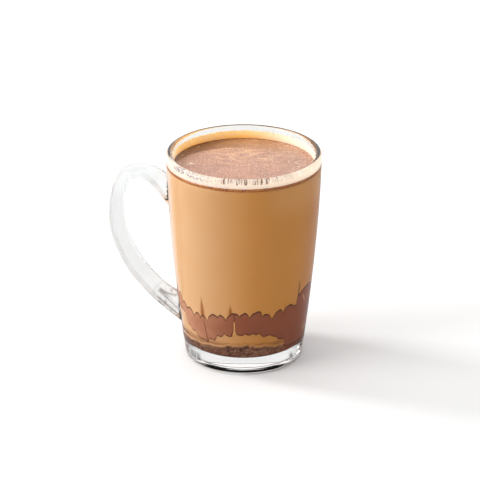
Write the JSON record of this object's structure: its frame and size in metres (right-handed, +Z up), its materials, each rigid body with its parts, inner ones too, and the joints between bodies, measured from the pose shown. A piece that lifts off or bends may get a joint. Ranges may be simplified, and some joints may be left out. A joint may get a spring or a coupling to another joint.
{
  "type": "caffe mocha in a glass mug",
  "caption": "Caffe mocha in layers of sediment, latte, chocolate and cocoa froth, filling a tapered clear glass mug with a side handle.",
  "frame": {"origin": "middle of the mug's flat underside, on the mug's axis", "axes": "+Z up along the mug's axis, -Y towards the viewer with the handle on the left, -X towards the handle"},
  "size_m": [0.1125, 0.082, 0.1153],
  "materials": {
    "glass": "clear polished soda-lime glass",
    "sediment": "thick dark chocolate syrup with swirls",
    "latte": "smooth milky coffee",
    "chocolate": "chocolate milk, darker than the latte",
    "froth": "wet froth speckled with cocoa",
    "foam": "thin cream-coloured milk foam"
  },
  "bodies": {
    "root": {"glass_mug": "glass", "chocolate_sediment": "sediment", "lower_latte": "latte", "chocolate_band": "chocolate", "latte": "latte", "cocoa_froth": "froth", "milk_foam_ring": "foam"}
  },
  "joints": []
}
